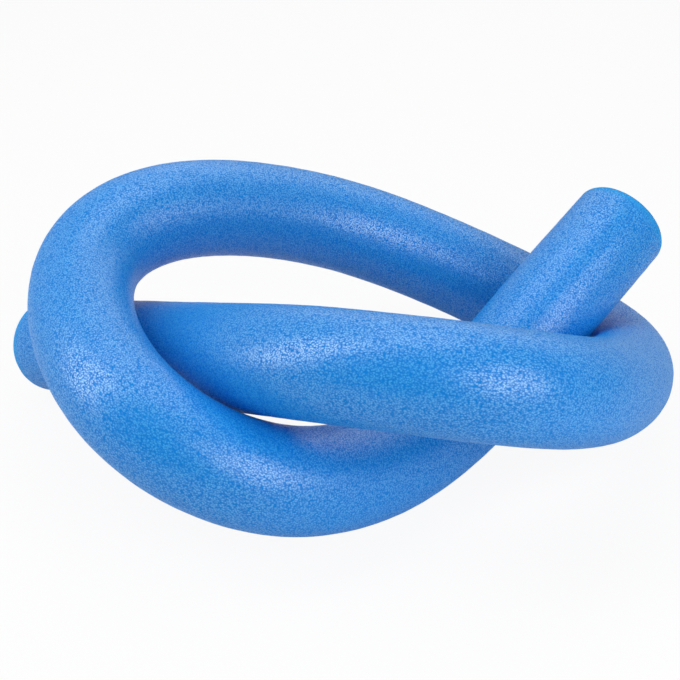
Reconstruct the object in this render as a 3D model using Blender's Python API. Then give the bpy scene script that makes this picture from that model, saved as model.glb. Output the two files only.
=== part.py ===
"""A pool noodle: one hollow foam tube, tied in a loose overhand knot and lying on a floor.

The real noodle is a single extrusion, so it is a single solid here. Its middle line is drawn
as a NURBS curve, cut to the noodle's length and swept into a tube. The bore is then cut out
along the same line, and the places where the noodle rests are pressed flat.
Lengths are in metres, +X is to the right, +Y is away from the viewer and +Z is up.
"""

import math

import bmesh
import bpy
import numpy as np
from mathutils import Vector

# Driving dimensions
NOODLE_DIAMETER = 0.065
NOODLE_LENGTH = 1.616
BORE_DIAMETER = 0.020
RESTING_FLAT_DEPTH = 0.0005
CUT_OVERRUN = 0.005

# The route of the middle line, from the end on the floor to the raised end, as shares of the
# noodle's diameter: to the right, away from the viewer, and up from the floor
ROUTE_SHARES = (
    # the low end lies on the floor, and the front strand climbs away from it
    (-3.10, 1.20, 0.46),
    (-2.80, 0.85, 0.65),
    (-1.85, 0.35, 0.90),
    (-1.05, -0.80, 1.55),
    (-0.10, -1.80, 2.10),
    (1.60, -2.20, 2.10),
    # the right bend comes down to the floor behind
    (2.60, -0.70, 1.05),
    (3.25, 1.30, 0.26),
    # the back strand climbs to the left bend
    (1.40, 2.05, 0.90),
    (-0.20, 2.20, 1.55),
    (-1.90, 1.10, 2.25),
    (-2.75, 0.40, 1.80),
    # the left bend crosses over the front strand and comes down in front
    (-2.10, -1.60, 1.55),
    (-0.65, -2.00, 0.80),
    # the noodle passes under its front strand, along the floor
    (0.80, -0.65, 0.25),
    # the raised end lies over the back strand
    (2.05, 0.45, 1.35),
    (2.70, 1.10, 1.75),
    (2.90, 1.35, 1.85),
)
# Rings stand this far apart along the noodle, as a share of its diameter
RING_SPACING_SHARE = 0.2
# The noodle's reach and its gaps are measured at points this share of its diameter apart
MEASURING_STEP_SHARE = 0.015
# Stretches of the noodle nearer along it than this share of its diameter aren't neighbours
OWN_STRETCH_SHARE = 2.0
# Corners closer than this share of a tube's radius become one
WELD_SHARE = 0.0001

# Counts, and the angle past which an edge is sharp
CURVE_ORDER = 4
CURVE_STEPS_PER_POINT = 16
SKIN_BEVEL_RESOLUTION = 10
BORE_BEVEL_RESOLUTION = 3
SHARP_EDGE_DEGREES = 40

# The foam's colour, red, green, blue and opacity, and its gloss
FOAM_COLOUR = (0.040, 0.235, 0.730, 1.0)
FOAM_ROUGHNESS = 0.5

# Derived sizes
SKIN_RADIUS = NOODLE_DIAMETER / 2
BORE_RADIUS = BORE_DIAMETER / 2
RING_SPACING = RING_SPACING_SHARE * NOODLE_DIAMETER
MEASURING_STEP = MEASURING_STEP_SHARE * NOODLE_DIAMETER


def clear_scene():
    """Removes every object that the scene starts with."""
    for item in list(bpy.data.objects):
        bpy.data.objects.remove(item, do_unlink=True)


def new_collection(name):
    collection = bpy.data.collections.new(name)
    bpy.context.scene.collection.children.link(collection)
    return collection


def make_foam_material():
    """The closed-cell foam: one colour all through, with a satin skin."""
    material = bpy.data.materials.new("blue_foam")
    material.use_nodes = True
    shader = material.node_tree.nodes["Principled BSDF"]
    shader.inputs["Base Color"].default_value = FOAM_COLOUR
    shader.inputs["Roughness"].default_value = FOAM_ROUGHNESS
    shader.inputs["Metallic"].default_value = 0.0
    material.diffuse_color = FOAM_COLOUR
    return material


def set_as_helper(item):
    """Marks a guide or a cutter, which isn't part of the noodle."""
    item.hide_render = True
    item.display_type = "WIRE"


def draw_route(collection):
    """The middle line as a NURBS curve, which is pulled towards the route's points."""
    data = bpy.data.curves.new("route", "CURVE")
    data.dimensions = "3D"
    data.resolution_u = CURVE_STEPS_PER_POINT
    spline = data.splines.new("NURBS")
    spline.points.add(len(ROUTE_SHARES) - 1)
    for point, shares in zip(spline.points, ROUTE_SHARES):
        place = Vector(shares) * NOODLE_DIAMETER
        point.co = (*place, 1.0)
    spline.order_u = CURVE_ORDER
    spline.use_endpoint_u = True
    route = bpy.data.objects.new("route", data)
    collection.objects.link(route)
    set_as_helper(route)
    return route


def points_along(route):
    """The places that the drawn route runs through, in order."""
    bpy.context.view_layer.update()
    graph = bpy.context.evaluated_depsgraph_get()
    traced = bpy.data.meshes.new_from_object(route.evaluated_get(graph))
    places = [vertex.co.copy() for vertex in traced.vertices]
    bpy.data.meshes.remove(traced)
    return places


def with_length(line, length):
    """The line, cut off at that length, or run on straight from its last point to reach it."""
    kept = [line[0]]
    left = length
    for start, end in zip(line, line[1:]):
        step = (end - start).length
        if step >= left:
            kept.append(start.lerp(end, left / step))
            return kept
        kept.append(end)
        left -= step
    heading = (line[-1] - line[-2]).normalized()
    kept.append(line[-1] + heading * left)
    return kept


def evenly_spaced(line, spacing):
    """Points about that far apart along the line, its two ends among them."""
    travelled = [0.0]
    for start, end in zip(line, line[1:]):
        travelled.append(travelled[-1] + (end - start).length)
    steps = max(1, round(travelled[-1] / spacing))
    stations = np.linspace(0.0, travelled[-1], steps + 1)
    columns = [np.interp(stations, travelled, [point[axis] for point in line]) for axis in range(3)]
    return [Vector(place) for place in zip(*columns)]


def headings_along(points):
    """The direction of travel at each point."""
    before = [points[0], *points[:-1]]
    after = [*points[1:], points[-1]]
    return [(end - start).normalized() for start, end in zip(before, after)]


def tube_bounds(points, radius):
    """The lowest and highest corner of the box round a tube along those points."""
    low = Vector(points[0])
    high = Vector(points[0])
    for point, heading in zip(points, headings_along(points)):
        for axis in range(3):
            reach = radius * math.sqrt(max(0.0, 1.0 - heading[axis] ** 2))
            low[axis] = min(low[axis], point[axis] - reach)
            high[axis] = max(high[axis], point[axis] + reach)
    return low, high


def least_gap_to_itself(line):
    """The narrowest gap between two strands of the noodle, measured on close points."""
    points = np.array(evenly_spaced(line, MEASURING_STEP))
    own_stretch = round(OWN_STRETCH_SHARE / MEASURING_STEP_SHARE)
    nearest = math.inf
    for index in range(len(points) - own_stretch):
        others = points[index + own_stretch :]
        nearest = min(nearest, np.linalg.norm(others - points[index], axis=1).min())
    return nearest - NOODLE_DIAMETER


def add_tube(name, points, radius, bevel_resolution, collection):
    """A round bar along those points, as one closed mesh."""
    data = bpy.data.curves.new(name, "CURVE")
    data.dimensions = "3D"
    data.bevel_depth = radius
    data.bevel_resolution = bevel_resolution
    data.use_fill_caps = True
    spline = data.splines.new("POLY")
    spline.points.add(len(points) - 1)
    for target, place in zip(spline.points, points):
        target.co = (*place, 1.0)
    curve = bpy.data.objects.new(name + "_curve", data)
    collection.objects.link(curve)

    bpy.context.view_layer.update()
    graph = bpy.context.evaluated_depsgraph_get()
    mesh = bpy.data.meshes.new_from_object(curve.evaluated_get(graph))
    mesh.name = name
    surface = bmesh.new()
    surface.from_mesh(mesh)
    bmesh.ops.remove_doubles(surface, verts=surface.verts, dist=radius * WELD_SHARE)
    bmesh.ops.recalc_face_normals(surface, faces=surface.faces)
    surface.to_mesh(mesh)
    surface.free()

    tube = bpy.data.objects.new(name, mesh)
    tube.matrix_world = curve.matrix_world
    collection.objects.link(tube)
    bpy.data.objects.remove(curve, do_unlink=True)
    return tube


def add_floor_cutter(low, high, collection):
    """A slab just under the floor, wider than the noodle, which presses its lowest places flat."""
    data = bpy.data.meshes.new("floor_cutter")
    slab = bmesh.new()
    bmesh.ops.create_cube(slab, size=1.0)
    margin = Vector((CUT_OVERRUN, CUT_OVERRUN, 0.0))
    size = high - low + 2 * margin
    size.z = SKIN_RADIUS
    bmesh.ops.scale(slab, vec=size, verts=slab.verts)
    slab.to_mesh(data)
    slab.free()
    cutter = bpy.data.objects.new("floor_cutter", data)
    middle = (low + high) / 2
    cutter.location = (middle.x, middle.y, -size.z / 2)
    collection.objects.link(cutter)
    set_as_helper(cutter)
    return cutter


def cut_away(solid, cutter):
    """Takes the cutter's shape out of the solid."""
    cut = solid.modifiers.new("cut_by_" + cutter.name, "BOOLEAN")
    cut.operation = "DIFFERENCE"
    cut.solver = "EXACT"
    cut.object = cutter


def add_noodle(points, collection, helpers):
    """The foam tube, with its bore and the places it rests on."""
    noodle = add_tube("foam_noodle", points, SKIN_RADIUS, SKIN_BEVEL_RESOLUTION, collection)
    noodle.data.materials.clear()
    noodle.data.materials.append(make_foam_material())
    noodle.data.shade_smooth()
    noodle.data.set_sharp_from_angle(angle=math.radians(SHARP_EDGE_DEGREES))

    headings = headings_along(points)
    bore_start = points[0] - headings[0] * CUT_OVERRUN
    bore_end = points[-1] + headings[-1] * CUT_OVERRUN
    bore_line = [bore_start, *points, bore_end]
    bore = add_tube("bore_cutter", bore_line, BORE_RADIUS, BORE_BEVEL_RESOLUTION, helpers)
    set_as_helper(bore)
    cut_away(noodle, bore)

    low, high = tube_bounds(points, SKIN_RADIUS)
    cut_away(noodle, add_floor_cutter(low, high, helpers))
    return noodle


def main():
    clear_scene()
    parts = new_collection("pool_noodle")
    helpers = new_collection("cutters")

    route = draw_route(helpers)
    line = with_length(points_along(route), NOODLE_LENGTH)
    low, high = tube_bounds(evenly_spaced(line, MEASURING_STEP), SKIN_RADIUS)
    middle = (low + high) / 2
    # The origin is on the floor, under the middle of the box round the knot
    shift = Vector((-middle.x, -middle.y, -RESTING_FLAT_DEPTH))
    line = [place + shift for place in line]
    route.location = shift

    points = evenly_spaced(line, RING_SPACING)
    add_noodle(points, parts, helpers)

    ringed = sum((end - start).length for start, end in zip(points, points[1:]))
    print(f"length along the rings' middles: {ringed:.4f} m, in {len(points)} rings")
    print(f"least gap of the noodle to itself: {least_gap_to_itself(line):.5f} m")
    print(f"size: {[round(side, 4) for side in high - low]} m")


main()
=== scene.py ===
# %% [markdown]
# # A pool noodle, tied in a loose overhand knot
#
# A pool noodle is one length of blue foam with a hole down its middle. The factory pushes molten
# polyethylene and gas through a round die, so the noodle leaves the machine straight, with a thin
# satin skin of flattened cells, and it is cut square at both ends. Somebody then ties it in a knot.
#
# The script makes it in the same order: first the straight noodle, then the knot, then the
# unevenness of the skin and the finish, and last the floor, the light and the camera.
# Lengths are in metres: +X is to the right, +Y away from the viewer and +Z up.

# %% The frame that everything fits
import math

import bmesh
import bpy
import numpy as np
from mathutils import Euler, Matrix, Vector, noise


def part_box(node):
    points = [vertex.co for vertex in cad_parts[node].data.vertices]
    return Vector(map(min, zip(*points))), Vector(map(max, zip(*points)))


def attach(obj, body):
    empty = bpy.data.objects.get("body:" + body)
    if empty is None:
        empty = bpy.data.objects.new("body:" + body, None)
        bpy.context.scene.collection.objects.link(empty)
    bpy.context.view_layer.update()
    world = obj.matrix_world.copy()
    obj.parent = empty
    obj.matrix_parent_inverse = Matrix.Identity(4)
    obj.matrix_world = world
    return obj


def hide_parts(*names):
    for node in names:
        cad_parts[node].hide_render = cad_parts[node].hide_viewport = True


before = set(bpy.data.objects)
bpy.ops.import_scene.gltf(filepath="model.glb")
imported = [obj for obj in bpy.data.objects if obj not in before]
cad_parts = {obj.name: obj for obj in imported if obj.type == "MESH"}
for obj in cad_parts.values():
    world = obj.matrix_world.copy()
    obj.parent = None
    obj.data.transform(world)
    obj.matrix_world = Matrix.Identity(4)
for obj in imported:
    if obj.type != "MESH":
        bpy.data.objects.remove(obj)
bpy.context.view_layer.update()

NODE_LOW, NODE_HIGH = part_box("foam_noodle")
print("the frame's noodle fills", [round(side, 4) for side in NODE_HIGH - NODE_LOW], "m")

# %% [markdown]
# ## The straight noodle
#
# The wall's section is a long thin rectangle, from the core hole out to the skin. It could be a
# cylinder with a smaller one cut out of it, but a cut leaves long faces that can't bend. So four
# corners are joined into the rectangle, its two long sides are divided into short steps, and the
# whole section is spun once round the noodle's middle line, here the X axis.

# %% The noodle's sizes
NOODLE_DIAMETER = 0.065
NOODLE_LENGTH = 1.616
BORE_DIAMETER = 0.020
SIDES = 128
SKIN_STEP = 0.0027
BORE_STEP = 0.016


def joined_corners(section, corners):
    """The corners as a closed ring of edges, with the edges in the corners' order."""
    points = [section.verts.new(corner) for corner in corners]
    ends = zip(points, points[1:] + points[:1])
    return [section.edges.new(pair) for pair in ends]


def divide(section, edge, step):
    """Divides an edge into pieces about that long."""
    cuts = round(edge.calc_length() / step) - 1
    bmesh.ops.subdivide_edges(section, edges=[edge], cuts=cuts)


tube = bmesh.new()
corners = (
    (0, 0, BORE_DIAMETER / 2),
    (0, 0, NOODLE_DIAMETER / 2),
    (NOODLE_LENGTH, 0, NOODLE_DIAMETER / 2),
    (NOODLE_LENGTH, 0, BORE_DIAMETER / 2),
)
# The section's four edges are a cut, the skin, the other cut and the core hole
_, skin_line, _, bore_line = joined_corners(tube, corners)
divide(tube, skin_line, SKIN_STEP)
divide(tube, bore_line, BORE_STEP)
print("the wall's section has", len(tube.verts), "points")

# %% Spun round the middle line
bmesh.ops.spin(
    tube,
    geom=tube.verts[:] + tube.edges[:],
    cent=(0, 0, 0),
    axis=(1, 0, 0),
    angle=math.tau,
    steps=SIDES,
    use_merge=True,
)
print("spun, the noodle has", len(tube.faces), "faces")

# %% [markdown]
# A knife or hot wire leaves no perfectly sharp rim on foam. The rim of each cut is rounded a
# little, more at the skin than at the core hole. The four rims are the edges whose two corners
# both lie in the plane of a cut, on the same circle.

# %% The rims of the two cuts
SKIN_RIM_ROUNDING = 0.0012
BORE_RIM_ROUNDING = 0.0008
RIM_SEGMENTS = 4
ROUND_PROFILE = 0.5
WELD_DISTANCE = 0.00001
RIMS = ((NOODLE_DIAMETER, SKIN_RIM_ROUNDING), (BORE_DIAMETER, BORE_RIM_ROUNDING))


def on_rim(edge, end, radius):
    """Whether both corners of the edge lie on the circle round that end of the noodle."""
    return all(
        math.isclose(corner.co.x, end, abs_tol=WELD_DISTANCE)
        and math.isclose(math.hypot(corner.co.y, corner.co.z), radius, abs_tol=WELD_DISTANCE)
        for corner in edge.verts
    )


for diameter, rounding in RIMS:
    rims = [
        edge
        for edge in tube.edges
        if on_rim(edge, 0, diameter / 2) or on_rim(edge, NOODLE_LENGTH, diameter / 2)
    ]
    bmesh.ops.bevel(
        tube,
        geom=rims,
        offset=rounding,
        offset_type="OFFSET",
        affect="EDGES",
        segments=RIM_SEGMENTS,
        profile=ROUND_PROFILE,
        material=-1,
    )
    print("rounded", len(rims), "edges at a diameter of", diameter)

bmesh.ops.remove_doubles(tube, verts=tube.verts, dist=WELD_DISTANCE)
bmesh.ops.recalc_face_normals(tube, faces=tube.faces)
noodle = bpy.data.objects.new("noodle", bpy.data.meshes.new("noodle"))
bpy.context.scene.collection.objects.link(noodle)
tube.to_mesh(noodle.data)
tube.free()
noodle.data.shade_smooth()
print("the straight noodle has", len(noodle.data.vertices), "corners")

# %% [markdown]
# ## Where each spot was before the knot
#
# The cells of the foam were made while the noodle was straight, and the knot only stretches or
# squeezes them. So each corner remembers its place in the straight noodle in an attribute, and
# the finish is drawn there later on: it runs round the tube without a seam and follows each bend.
#
# Two more attributes say where the skin ends. The two cuts and the core hole are raw foam. The skin
# itself is glossy, but a band of a few millimetres next to each cut is dull, and over these bands
# and the cuts the colour carries a painted glow of light that shines in through the cut ends.


# %% A memory of the straight noodle
def corner_places(mesh):
    """The mesh's corners as rows of x, y and z."""
    places = np.empty(len(mesh.vertices) * 3)
    mesh.vertices.foreach_get("co", places)
    return places.reshape(-1, 3)


def move_corners(mesh, places):
    """Puts the mesh's corners in new places."""
    mesh.vertices.foreach_set("co", places.ravel())
    mesh.update()


straight_places = corner_places(noodle.data)
straight = noodle.data.attributes.new("straight", "FLOAT_VECTOR", "POINT")
straight.data.foreach_set("vector", straight_places.ravel())
print("remembered", len(straight_places), "places")


# %% Where the skin ends
# Over this band next to each cut the skin is dull and its colour carries a painted glow of light
# through the cut end
DULL_GLOW_BAND = 0.005

from_middle = np.hypot(straight_places[:, 1], straight_places[:, 2])
from_a_cut = np.minimum(straight_places[:, 0], NOODLE_LENGTH - straight_places[:, 0])
skinned = from_middle > NOODLE_DIAMETER / 2 - WELD_DISTANCE
clear_of_cuts = np.clip((from_a_cut - SKIN_RIM_ROUNDING) / DULL_GLOW_BAND, 0, 1)
for name, values in (("raw", 1.0 - skinned), ("polish_without_glow", skinned * clear_of_cuts)):
    attribute = noodle.data.attributes.new(name, "FLOAT", "POINT")
    attribute.data.foreach_set("value", values)
print("of", len(skinned), "corners", skinned.sum(), "are on the skin")

# %% [markdown]
# ## The knot
#
# Tying the knot by simulation would take long and never end up just like the photograph. The knot's
# middle line is a NURBS curve instead, which is pulled towards a few points, as a thick noodle is,
# and never turns sharply. The points were fitted to the outlines in the photograph, then rounded,
# and some were moved. They are given in diameters of the noodle: to the right, away from the
# viewer, and up from the floor.

# %% The middle line of the knot
KNOT_POINTS = (
    # the low end lies on the floor, and the front strand climbs away from it
    (-3.10, 1.20, 0.46),
    (-2.80, 0.85, 0.65),
    (-1.85, 0.35, 0.90),
    (-1.05, -0.80, 1.55),
    (-0.10, -1.80, 2.10),
    (1.60, -2.20, 2.10),
    # the right bend comes down to the floor behind
    (2.60, -0.70, 1.05),
    (3.25, 1.30, 0.26),
    # the back strand climbs to the left bend
    (1.40, 2.05, 0.90),
    (-0.20, 2.20, 1.55),
    (-1.90, 1.10, 2.25),
    (-2.75, 0.40, 1.80),
    # the left bend crosses over the front strand and comes down in front
    (-2.10, -1.60, 1.55),
    (-0.65, -2.00, 0.80),
    # the noodle passes under its front strand, along the floor
    (0.80, -0.65, 0.25),
    # the raised end lies over the back strand
    (2.05, 0.45, 1.35),
    (2.70, 1.10, 1.75),
    (2.90, 1.35, 1.85),
)
CURVE_ORDER = 4
CURVE_STEPS = 64


def draw_knot():
    """The middle line as a curve object."""
    data = bpy.data.curves.new("knot", "CURVE")
    data.dimensions = "3D"
    data.twist_mode = "MINIMUM"
    data.resolution_u = CURVE_STEPS
    data.use_path = True
    spline = data.splines.new("NURBS")
    spline.points.add(len(KNOT_POINTS) - 1)
    for point, diameters in zip(spline.points, KNOT_POINTS):
        point.co = (*(Vector(diameters) * NOODLE_DIAMETER), 1)
    spline.order_u = CURVE_ORDER
    spline.use_endpoint_u = True
    knot = bpy.data.objects.new("knot", data)
    bpy.context.scene.collection.objects.link(knot)
    return knot


knot = draw_knot()
print("the knot's middle line is", round(knot.data.splines[0].calc_length(), 4), "m long")

# %% [markdown]
# The Curve modifier carries a straight mesh along a curve, without turning it round the curve more
# than the bends ask for. It does what hands do with the real noodle, so it is used here and then
# applied. The result is moved onto the frame's noodle, and slightly into the floor, where the foam
# gives under its own weight.


# %% The noodle follows the knot
RESTING_DEPTH = 0.0005


def apply_modifiers(thing):
    """Makes the shape that the object's modifiers give its own mesh."""
    graph = bpy.context.evaluated_depsgraph_get()
    shaped = bpy.data.meshes.new_from_object(thing.evaluated_get(graph))
    thing.modifiers.clear()
    plain = thing.data
    thing.data = shaped
    bpy.data.meshes.remove(plain)


bend = noodle.modifiers.new("bend", "CURVE")
bend.object = knot
bend.deform_axis = "POS_X"
apply_modifiers(noodle)
bpy.data.objects.remove(knot)

places = corner_places(noodle.data)
low = Vector(places.min(axis=0))
high = Vector(places.max(axis=0))
shift = (NODE_LOW + NODE_HIGH) / 2 - (low + high) / 2
shift.z = -RESTING_DEPTH - low.z
places += shift
move_corners(noodle.data, places)
excess = (high - low) - (NODE_HIGH - NODE_LOW)
print("the knot's box is larger than the frame's by", [round(side, 5) for side in excess], "m")

# %% [markdown]
# ## An uneven skin
#
# Foam is never quite round: the tube swells and shrinks by a fraction of a millimetre as it
# leaves the die, and its skin has low humps a few millimetres wide. These are real shapes, so the
# corners themselves move in and out. Blender's noise gives the humps, read in the straight noodle.

# %% Humps and swellings
HUMP_WIDTH = 0.007
HUMP_HEIGHT = 0.00012
SWELLING_LENGTH = 0.05
SWELLING_HEIGHT = 0.00025


def unevenness(place):
    """How far the skin stands out at a place in the straight noodle."""
    spot = Vector(place)
    hump = noise.noise(spot / HUMP_WIDTH)
    swelling = noise.noise(spot / SWELLING_LENGTH)
    return hump * HUMP_HEIGHT + swelling * SWELLING_HEIGHT


normals = np.empty(len(places) * 3)
noodle.data.vertex_normals.foreach_get("vector", normals)
heights = np.array([unevenness(place) for place in straight_places])
places = places + normals.reshape(-1, 3) * heights[:, np.newaxis]

# Nothing reaches under the floor, so the foam is flat where it rests
places[:, 2] = np.maximum(places[:, 2], 0)
move_corners(noodle.data, places)
print("the skin is uneven by", round(np.ptp(heights) * 1000, 2), "mm")

# %% [markdown]
# ## The finish
#
# The foam is one blue all through. The die melts its outermost cells flat, so the skin is satin,
# with low grains about a millimetre wide. The tops of the grains are smooth and the hollows between
# them are dull, so where a lamp is mirrored the foam sparkles in fine white specks. A picture of
# foam wrapped round the noodle would show a seam and repeat. Here the cells are worked out by the
# material's nodes, at each spot's place in the straight noodle.
#
# To write such nodes as sums, a small class wraps a node's output. Python's operators then add the
# Math nodes, and one method adds every other kind of node.


# %% Sums made of nodes
class Wire:
    """An output of a node, which Python can calculate with."""

    def __init__(self, tree, socket=None):
        self.tree = tree
        self.socket = socket

    def node(self, kind, settings=None, sockets=None, output=0):
        """Adds a node: its type, the settings that it needs first, and what its sockets get."""
        made = self.tree.nodes.new(kind)
        for name, setting in (settings or {}).items():
            setattr(made, name, setting)
        for name, value in (sockets or {}).items():
            if isinstance(value, Wire):
                self.tree.links.new(value.socket, made.inputs[name])
            else:
                made.inputs[name].default_value = value
        return Wire(self.tree, made.outputs[output] if made.outputs else None)

    def maths(self, operation, *values):
        """Adds a Math node on these numbers or wires."""
        return self.node("ShaderNodeMath", {"operation": operation}, dict(enumerate(values)))

    def __add__(self, other):
        return self.maths("ADD", self, other)

    __radd__ = __add__

    def __sub__(self, other):
        return self.maths("SUBTRACT", self, other)

    def __rsub__(self, other):
        return self.maths("SUBTRACT", other, self)

    def __mul__(self, other):
        return self.maths("MULTIPLY", self, other)

    __rmul__ = __mul__


foam = bpy.data.materials.new("foam_skin")
foam.use_nodes = True
shader = foam.node_tree.nodes["Principled BSDF"]
links = foam.node_tree.links
maker = Wire(foam.node_tree)
print("the foam's material starts with", len(foam.node_tree.nodes), "nodes")

# %% [markdown]
# The cells are a Voronoi pattern, whose value grows from the middle of each cell to its wall. A
# noise of less than half that size makes no two cells alike. Their difference is the height of the
# skin: it is high in the middle of a cell, and low between the cells. The raw foam is rougher, so
# the hollows between its cells are deeper.

# %% The height of the skin
CELL_SIZE = 0.0010
CELL_SMOOTHNESS = 0.3
GRAIN_SIZE = 0.0004
GRAIN_FINENESS = 0.6
NOISE_DETAIL = 2
RAW_DEPTH_SHARE = 1.5


def remembered(name, kind="Fac"):
    """What the noodle's corners remember in the attribute of that name."""
    return maker.node("ShaderNodeAttribute", {"attribute_name": name}, output=kind)


def noise_of(size, fineness):
    """Noise of about that size in the straight noodle, with a share of finer noise in it."""
    sockets = {"Vector": spot, "Scale": 1 / size, "Detail": NOISE_DETAIL, "Roughness": fineness}
    return maker.node("ShaderNodeTexNoise", sockets=sockets)


spot = remembered("straight", "Vector")
raw = remembered("raw")
polish_without_glow = remembered("polish_without_glow")
cells = maker.node(
    "ShaderNodeTexVoronoi",
    {"feature": "SMOOTH_F1"},
    {"Vector": spot, "Scale": 1 / CELL_SIZE, "Smoothness": CELL_SMOOTHNESS},
    output="Distance",
)
grain = noise_of(GRAIN_SIZE, GRAIN_FINENESS)
height = grain - cells * (raw * RAW_DEPTH_SHARE + 1)
print("the cells are", CELL_SIZE * 1000, "mm wide")

# %% [markdown]
# The colour follows the height of the skin: high spots are paler than the hollows, and the deep
# blue of the hollows is painted shade. Only the highest are quite pale, so the skin reads as deep
# blue with pale grains and not as pale with dark holes. The blue also drifts a little over each
# centimetre, as it does where pigment isn't quite mixed. The raw foam and the dull bands are a
# trace paler and greener: partly the raw foam's own colour, and partly a painted glow of light that
# shines in through the cut ends.

# %% The blue
SHADED_HOLLOW_HEIGHT = -0.05
PALE_HEIGHT = 0.5
CLOUD_SIZE = 0.010
CLOUD_FINENESS = 0.5
CLOUD_SHARE = 0.2
NOISE_MIDDLE = 0.5
RAW_AND_GLOW_SHARE = 0.6
# The deep blue of the hollows between the grains holds painted shade
SHADED_HOLLOW_BLUE = (0.003, 0.214, 0.692, 1)
PALE_BLUE = (0.016, 0.440, 0.905, 1)
# Partly the raw foam's own colour, partly a painted glow of light shining in through the cut ends
RAW_AND_GLOW_BLUE = (0.045, 0.400, 0.860, 1)
# A Mix node has sockets for each kind of value, and these are the numbers of those for colours
FIRST_COLOUR = 6
SECOND_COLOUR = 7
MIXED_COLOUR = 2


def share_between(value, low, high):
    """0 up to the low value, 1 from the high one on, and even steps between them."""
    sockets = {"Value": value, "From Min": low, "From Max": high}
    return maker.node("ShaderNodeMapRange", sockets=sockets)


def mixed_colour(share, first, second):
    """The first colour where the share is 0, and the second where it is 1."""
    sockets = {"Factor": share, FIRST_COLOUR: first, SECOND_COLOUR: second}
    return maker.node("ShaderNodeMix", {"data_type": "RGBA"}, sockets, output=MIXED_COLOUR)


clouds = noise_of(CLOUD_SIZE, CLOUD_FINENESS)
# Painted shade: the lower the skin, the deeper its blue, so the hollows between the grains are
# darker
grain_and_shade_share = share_between(height, SHADED_HOLLOW_HEIGHT, PALE_HEIGHT)
drifted = grain_and_shade_share + (clouds - NOISE_MIDDLE) * CLOUD_SHARE
skin_colour_with_painted_shade = mixed_colour(drifted, SHADED_HOLLOW_BLUE, PALE_BLUE)
# Painted glow over the cuts and the dull bands, mixed with the raw foam's own colour
colour = mixed_colour((1 - polish_without_glow) * RAW_AND_GLOW_SHARE, skin_colour_with_painted_shade, RAW_AND_GLOW_BLUE)
links.new(colour.socket, shader.inputs["Base Color"])
print("the blues run from", SHADED_HOLLOW_BLUE[:3], "to", PALE_BLUE[:3])

# %% [markdown]
# Most of the gloss is a coat: the smooth tops of the grains have all of it, the hollows little and
# the raw foam none, and it fades out over the dull bands. Varying one rough gloss all over would
# never give such small bright specks. The height also bumps the surface, so that each grain catches
# the lamps on its own side.

# %% Gloss and bumps
FOAM_GLOSS = 0.08
FOAM_ROUGHNESS = 0.5
RAW_ROUGHNESS = 0.75
GRAIN_ROUGHNESS = 0.3
COAT_LOW = -0.25
COAT_HIGH = 0.35
COAT_ROUGHNESS = 0.38
COAT_IOR = 2.15
BUMP_DEPTH = 0.0003

uneven = (NOISE_MIDDLE - grain) * GRAIN_ROUGHNESS
duller = raw * (RAW_ROUGHNESS - FOAM_ROUGHNESS)
roughness = uneven + duller + FOAM_ROUGHNESS
coat = share_between(height, COAT_LOW, COAT_HIGH) * polish_without_glow
bumps = maker.node(
    "ShaderNodeBump",
    sockets={"Height": height, "Distance": BUMP_DEPTH, "Strength": 1},
)
links.new(roughness.socket, shader.inputs["Roughness"])
links.new(coat.socket, shader.inputs["Coat Weight"])
links.new(bumps.socket, shader.inputs["Normal"])
shader.inputs["Specular IOR Level"].default_value = FOAM_GLOSS
shader.inputs["Coat Roughness"].default_value = COAT_ROUGHNESS
shader.inputs["Coat IOR"].default_value = COAT_IOR
noodle.data.materials.clear()
noodle.data.materials.append(foam)
print("the foam's material has", len(foam.node_tree.nodes), "nodes")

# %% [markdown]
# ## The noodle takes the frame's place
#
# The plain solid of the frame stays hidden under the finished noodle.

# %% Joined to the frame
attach(noodle, "root")
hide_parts("foam_noodle")

# %% [markdown]
# ## Floor and background
#
# The photograph's background is pure white. Lighting a floor until it is white would wash out the
# noodle too. Instead, rays that come straight from the camera find the floor nearly white, and
# only a trace of the noodle's shadow is left on it. Rays that the foam mirrors find a little white
# added to the lit floor, and all other light falls on a plain pale sheet.

# %% The floor
FLOOR_SIZE = 40.0
FLOOR_COLOUR = (0.86, 0.86, 0.86, 1)
WHITE = (1, 1, 1, 1)
SEEN_WHITE = 0.92
MIRRORED_WHITE = 0.15


def kinds_of_rays(maker):
    """1 for rays from the camera, and 1 for rays from a mirroring or clear surface."""
    camera = maker.node("ShaderNodeLightPath", output="Is Camera Ray")
    glossy = maker.node("ShaderNodeLightPath", output="Is Glossy Ray")
    through = maker.node("ShaderNodeLightPath", output="Is Transmission Ray")
    return camera, maker.maths("MAXIMUM", glossy, through)


paper = bpy.data.materials.new("pale_floor")
paper.use_nodes = True
paper.node_tree.nodes.clear()
maker = Wire(paper.node_tree)
seen, mirrored = kinds_of_rays(maker)
matt = maker.node("ShaderNodeBsdfDiffuse", sockets={"Color": FLOOR_COLOUR})
white = maker.node("ShaderNodeEmission", sockets={"Color": WHITE, "Strength": 1})
whiteness = seen * SEEN_WHITE + mirrored * MIRRORED_WHITE
# The three sockets are the factor, the shader that it leaves and the shader that it brings in
mixed = maker.node("ShaderNodeMixShader", sockets={0: whiteness, 1: matt, 2: white})
maker.node("ShaderNodeOutputMaterial", sockets={"Surface": mixed})

sheet = bmesh.new()
bmesh.ops.create_grid(sheet, x_segments=1, y_segments=1, size=FLOOR_SIZE / 2)
floor = bpy.data.objects.new("floor", bpy.data.meshes.new("floor"))
sheet.to_mesh(floor.data)
sheet.free()
floor.data.materials.append(paper)
bpy.context.scene.collection.objects.link(floor)
print("the floor is", FLOOR_SIZE, "m wide")

# %% [markdown]
# For the camera the world is about as white as the far floor, so that a low view has no sharp
# horizon. In the foam it is mirrored as a real studio is: a white wall stands behind the noodle,
# and the room in front is dimmer. Its own light is weak and even.

# %% The world
WORLD_LIGHT = 0.05
ROOM_LIGHT = 0.2
WALL_EDGE = 0.5

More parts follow.
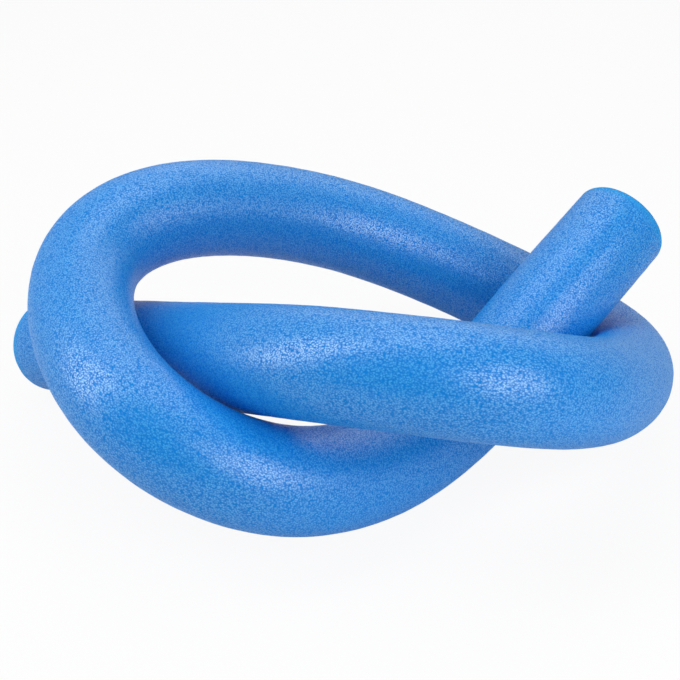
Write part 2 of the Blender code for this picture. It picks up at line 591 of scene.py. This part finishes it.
world = bpy.data.worlds.new("studio")
world.use_nodes = True
world.node_tree.nodes.clear()
bpy.context.scene.world = world
maker = Wire(world.node_tree)
seen, mirrored = kinds_of_rays(maker)
heading = maker.node("ShaderNodeTexCoord", output="Generated")
backwards = maker.node("ShaderNodeSeparateXYZ", sockets={"Vector": heading}, output="Y")
surround = maker.node(
    "ShaderNodeMapRange",
    sockets={
        "Value": backwards,
        "From Min": -WALL_EDGE,
        "From Max": WALL_EDGE,
        "To Min": ROOM_LIGHT,
        "To Max": 1,
    },
)
others = 1 - maker.maths("MAXIMUM", seen, mirrored)
strength = seen * SEEN_WHITE + mirrored * surround + others * WORLD_LIGHT
light = maker.node("ShaderNodeBackground", sockets={"Color": WHITE, "Strength": strength})
maker.node("ShaderNodeOutputWorld", sockets={"Surface": light})
print("the world lights at", WORLD_LIGHT)

# %% [markdown]
# ## Light
#
# Four soft lamps stand round the noodle: a tall strip at the left, a broad panel in front at the
# right, one overhead, and a weak one behind, which lifts the top rims and the cut faces out of the
# shade. Each leaves its own patch of specks on the skin. A lamp's light is given as the brightness
# of white paper that faces it, where 1 is white. The lamp's watts are that brightness times the
# square of pi times its distance.

# %% The lamps
LAMP_DISTANCE = 1.4
LAMPS = (
    # name, turn from straight behind the noodle, rise over the horizon, width, length, brightness
    ("left_strip", -101, 36, 0.50, 1.80, 0.74),
    ("right_panel", 140, 28, 1.10, 1.10, 0.71),
    ("top_panel", 0, 79, 0.90, 1.00, 0.27),
    ("back_panel", 15, 35, 1.60, 0.80, 0.20),
)


def add_lamp(name, turn, rise, width, length, brightness):
    """A soft lamp aimed at the noodle."""
    outward = Vector((0, 1, 0))
    outward.rotate(Euler((math.radians(rise), 0, -math.radians(turn))))
    data = bpy.data.lights.new(name, "AREA")
    data.shape = "RECTANGLE"
    data.size = width
    data.size_y = length
    data.energy = brightness * (math.pi * LAMP_DISTANCE) ** 2
    lamp = bpy.data.objects.new(name, data)
    lamp.location = (NODE_LOW + NODE_HIGH) / 2 + outward * LAMP_DISTANCE
    lamp.rotation_euler = outward.to_track_quat("Z", "Y").to_euler()
    lamp.visible_camera = False
    bpy.context.scene.collection.objects.link(lamp)
    print(name, "gives", round(data.energy, 1), "W")


for lamp in LAMPS:
    add_lamp(*lamp)

# %% [markdown]
# ## The camera
#
# It looks down at the noodle from the front, a good 30 degrees above the horizon. Placed by eye, it
# would show the knot's loops at a wrong slant, so its place and its lens were fitted to the
# outlines in the photograph as well.

# %% The camera
CAMERA_PLACE = (0.00435, -0.77324, 0.54797)
CAMERA_TILT = 31.271
CAMERA_TURN = 0.19
CAMERA_LENS = 74.71
# An unturned camera looks straight down, and this turn makes it level
LEVEL = 90

eye = bpy.data.cameras.new("camera")
eye.lens = CAMERA_LENS
camera = bpy.data.objects.new("camera", eye)
camera.location = CAMERA_PLACE
camera.rotation_euler = (math.radians(LEVEL - CAMERA_TILT), 0, math.radians(CAMERA_TURN))
bpy.context.scene.collection.objects.link(camera)
bpy.context.scene.camera = camera
bpy.context.scene.view_settings.view_transform = "Standard"
print("the camera stands", round(camera.location.length, 2), "m away")
